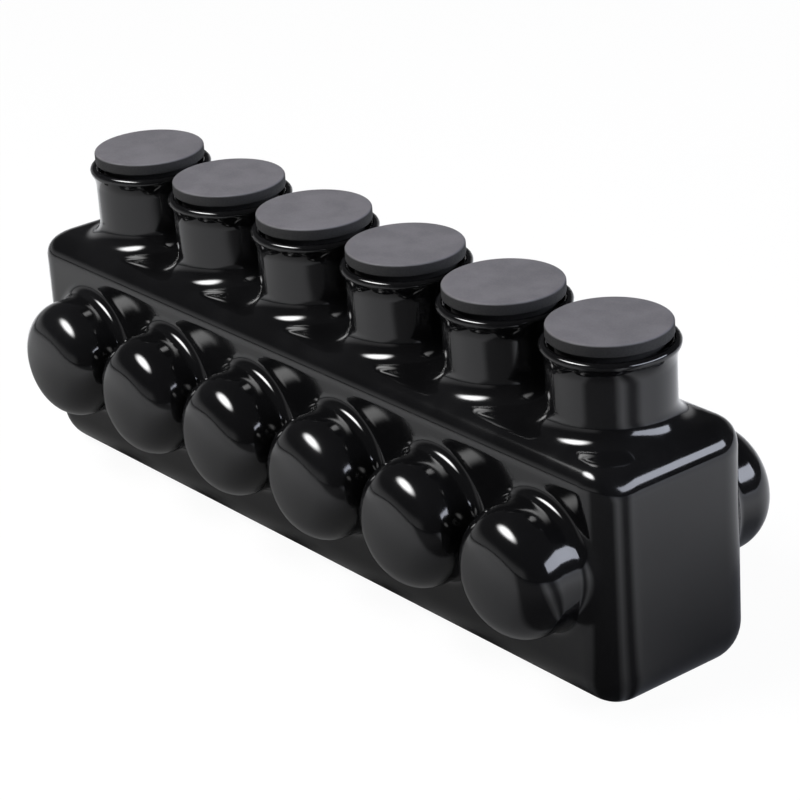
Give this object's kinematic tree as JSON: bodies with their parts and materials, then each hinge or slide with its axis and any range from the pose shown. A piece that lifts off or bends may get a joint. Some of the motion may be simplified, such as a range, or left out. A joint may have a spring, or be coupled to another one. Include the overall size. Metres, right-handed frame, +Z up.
{
  "type": "insulated multi-tap connector",
  "caption": "Insulated connector: a metal bar with clamp screws in a moulded black jacket, with closed cable domes on both sides and plugged screw collars on top.",
  "frame": {"origin": "middle of the flat foot of the body, on the surface it stands on", "axes": "+X along the row of ports, -Y the front row of domes, +Z up through the collars and plugs"},
  "size_m": [0.166, 0.058, 0.062],
  "materials": {
    "insulation": "glossy moulded black vinyl",
    "plug_rubber": "matte grey-black rubber",
    "bar_metal": "extruded, satin",
    "screw_metal": "turned, satin"
  },
  "bodies": {
    "insulated_bar": {"insulation_jacket": "insulation", "connector_bar": "bar_metal"},
    "screw_1": {"clamp_screw_1": "screw_metal"},
    "screw_2": {"clamp_screw_2": "screw_metal"},
    "screw_3": {"clamp_screw_3": "screw_metal"},
    "screw_4": {"clamp_screw_4": "screw_metal"},
    "screw_5": {"clamp_screw_5": "screw_metal"},
    "screw_6": {"clamp_screw_6": "screw_metal"},
    "plug_1": {"access_plug_1": "plug_rubber"},
    "plug_2": {"access_plug_2": "plug_rubber"},
    "plug_3": {"access_plug_3": "plug_rubber"},
    "plug_4": {"access_plug_4": "plug_rubber"},
    "plug_5": {"access_plug_5": "plug_rubber"},
    "plug_6": {"access_plug_6": "plug_rubber"}
  },
  "joints": [
    {"name": "screw_travel_1", "type": "slide", "parent": "insulated_bar", "child": "screw_1", "axis": [0, 0, 1], "range_m": [-0.0124, 0]},
    {"name": "screw_travel_2", "type": "slide", "parent": "insulated_bar", "child": "screw_2", "axis": [0, 0, 1], "range_m": [-0.0124, 0]},
    {"name": "screw_travel_3", "type": "slide", "parent": "insulated_bar", "child": "screw_3", "axis": [0, 0, 1], "range_m": [-0.0124, 0]},
    {"name": "screw_travel_4", "type": "slide", "parent": "insulated_bar", "child": "screw_4", "axis": [0, 0, 1], "range_m": [-0.0124, 0]},
    {"name": "screw_travel_5", "type": "slide", "parent": "insulated_bar", "child": "screw_5", "axis": [0, 0, 1], "range_m": [-0.0124, 0]},
    {"name": "screw_travel_6", "type": "slide", "parent": "insulated_bar", "child": "screw_6", "axis": [0, 0, 1], "range_m": [-0.0124, 0]},
    {"name": "plug_lift_1", "type": "slide", "parent": "insulated_bar", "child": "plug_1", "axis": [0, 0, 1], "range_m": [0, 0.02]},
    {"name": "plug_lift_2", "type": "slide", "parent": "insulated_bar", "child": "plug_2", "axis": [0, 0, 1], "range_m": [0, 0.02]},
    {"name": "plug_lift_3", "type": "slide", "parent": "insulated_bar", "child": "plug_3", "axis": [0, 0, 1], "range_m": [0, 0.02]},
    {"name": "plug_lift_4", "type": "slide", "parent": "insulated_bar", "child": "plug_4", "axis": [0, 0, 1], "range_m": [0, 0.02]},
    {"name": "plug_lift_5", "type": "slide", "parent": "insulated_bar", "child": "plug_5", "axis": [0, 0, 1], "range_m": [0, 0.02]},
    {"name": "plug_lift_6", "type": "slide", "parent": "insulated_bar", "child": "plug_6", "axis": [0, 0, 1], "range_m": [0, 0.02]}
  ]
}
